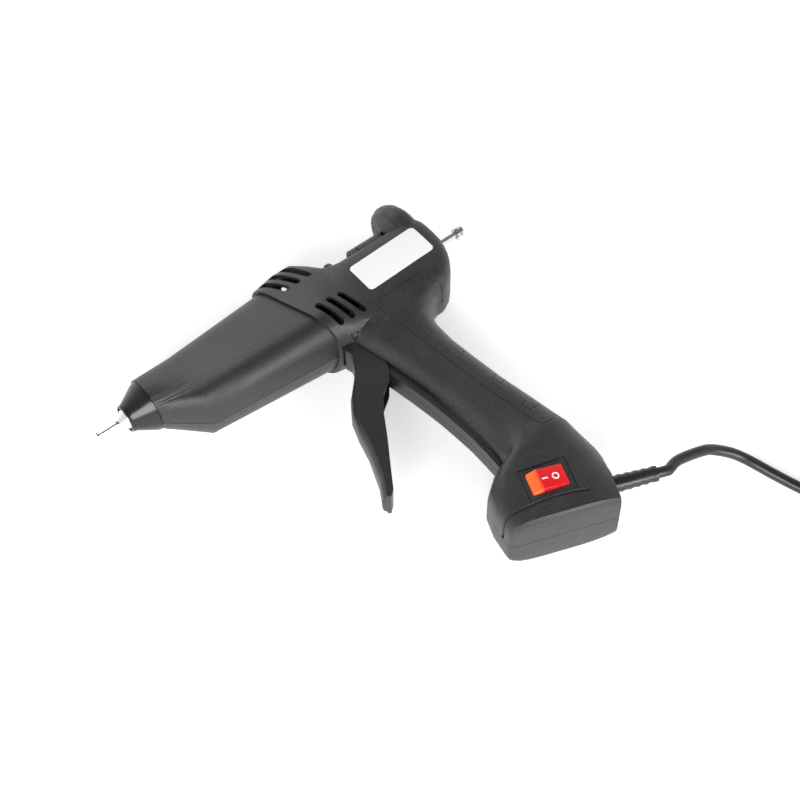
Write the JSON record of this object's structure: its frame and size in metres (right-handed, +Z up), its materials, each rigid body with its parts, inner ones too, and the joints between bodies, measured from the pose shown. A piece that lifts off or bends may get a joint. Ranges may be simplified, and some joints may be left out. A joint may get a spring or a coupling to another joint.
{
  "type": "hot glue gun",
  "caption": "Mains hot glue gun with a pear-shaped barrel, open stick channel, long trigger, stroke rod, raked grip with a lit rocker switch in its base, and a coiled cord with a flat plug.",
  "frame": {"origin": "middle of the gun's bounding box without its cord, on the surface that the gun lies on", "axes": "+X towards the gun's rear along the nozzle's axis, +Y towards the gun's top, +Z up from the surface, out of the gun's left side"},
  "size_m": [0.364, 0.3964, 0.0475],
  "materials": {
    "moulded_black": "fine-grained moulded nylon",
    "boot_rubber": "glossy moulded rubber",
    "cord_pvc": "glossy flexible PVC",
    "bright_steel": "bright plated steel",
    "zinc_steel": "zinc-plated steel",
    "cast_aluminium": "as cast",
    "inlet_silicone": "matt silicone",
    "insulator_board": "pressed fibre board",
    "rocker_red": "clear red, lit from inside",
    "white_nylon": "moulded nylon"
  },
  "bodies": {
    "gun": {"barrel_screw": "zinc_steel", "clamp_saddle": "white_nylon", "cord_clamp": "white_nylon", "cord_coil": "cord_pvc", "cord_tail": "cord_pvc", "cord_tie": "boot_rubber", "front_insulator": "insulator_board", "front_screw": "zinc_steel", "grip_screw": "zinc_steel", "heater_block": "cast_aluminium", "heating_element": "zinc_steel", "inlet_sleeve": "inlet_silicone", "left_barrel_cover": "moulded_black", "left_housing": "moulded_black", "left_plug_pin": "bright_steel", "lobe_screw": "zinc_steel", "lower_clamp_screw": "zinc_steel", "lower_grip_screw": "zinc_steel", "nozzle": "bright_steel", "nozzle_boot": "boot_rubber", "nozzle_tube": "bright_steel", "plug": "cord_pvc", "rear_insulator": "insulator_board", "rear_screw": "zinc_steel", "right_barrel_cover": "moulded_black", "right_housing": "moulded_black", "right_plug_pin": "bright_steel", "rod_bush": "white_nylon", "strain_relief": "cord_pvc", "supply_cord": "cord_pvc", "switch_body": "moulded_black", "terminal_block": "white_nylon", "thermal_fuse": "insulator_board", "toe_screw": "zinc_steel", "trigger_pin": "bright_steel", "trigger_spring": "zinc_steel", "upper_clamp_screw": "zinc_steel"},
    "trigger": {"trigger": "moulded_black", "link_pin": "bright_steel"},
    "carriage": {"feed_carriage": "zinc_steel", "gripper_pin": "bright_steel", "stroke_rod": "bright_steel", "rod_cap": "bright_steel"},
    "gripper": {"stick_gripper": "bright_steel"},
    "stroke_nut": {"stroke_nut": "bright_steel"},
    "rocker": {"switch_rocker": "rocker_red"}
  },
  "joints": [
    {"name": "trigger_swing", "type": "hinge", "parent": "gun", "child": "trigger", "pos_m": [0.02205, 0.04914, 0.02375], "axis": [0, 0, 1], "range_deg": [0, 22], "stiffness_Nm_per_rad": 0.6, "springref_deg": -14.32, "deforming": ["trigger_spring"]},
    {"name": "carriage_slide", "type": "slide", "parent": "gun", "child": "carriage", "axis": [-1, 0, 0], "range_m": [0, 0.00935]},
    {"name": "gripper_cant", "type": "hinge", "parent": "carriage", "child": "gripper", "pos_m": [0.05525, 0.08034, 0.02375], "axis": [0, 0, 1], "range_deg": [0, 7], "stiffness_Nm_per_rad": 0.03, "springref_deg": -5.73},
    {"name": "stroke_nut_turn", "type": "hinge", "parent": "carriage", "child": "stroke_nut", "pos_m": [0.10771, 0.07341, 0.02375], "axis": [1, 0, 0], "continuous": true},
    {"name": "rocker_tilt", "type": "hinge", "parent": "gun", "child": "rocker", "pos_m": [0.04205, -0.07946, 0.04128], "axis": [-0.3024, -0.9532, 0], "range_deg": [0, 12]}
  ],
  "couplings": [
    {"joint": "carriage_slide", "follows": "trigger_swing", "m_per_rad": 0.02435}
  ]
}
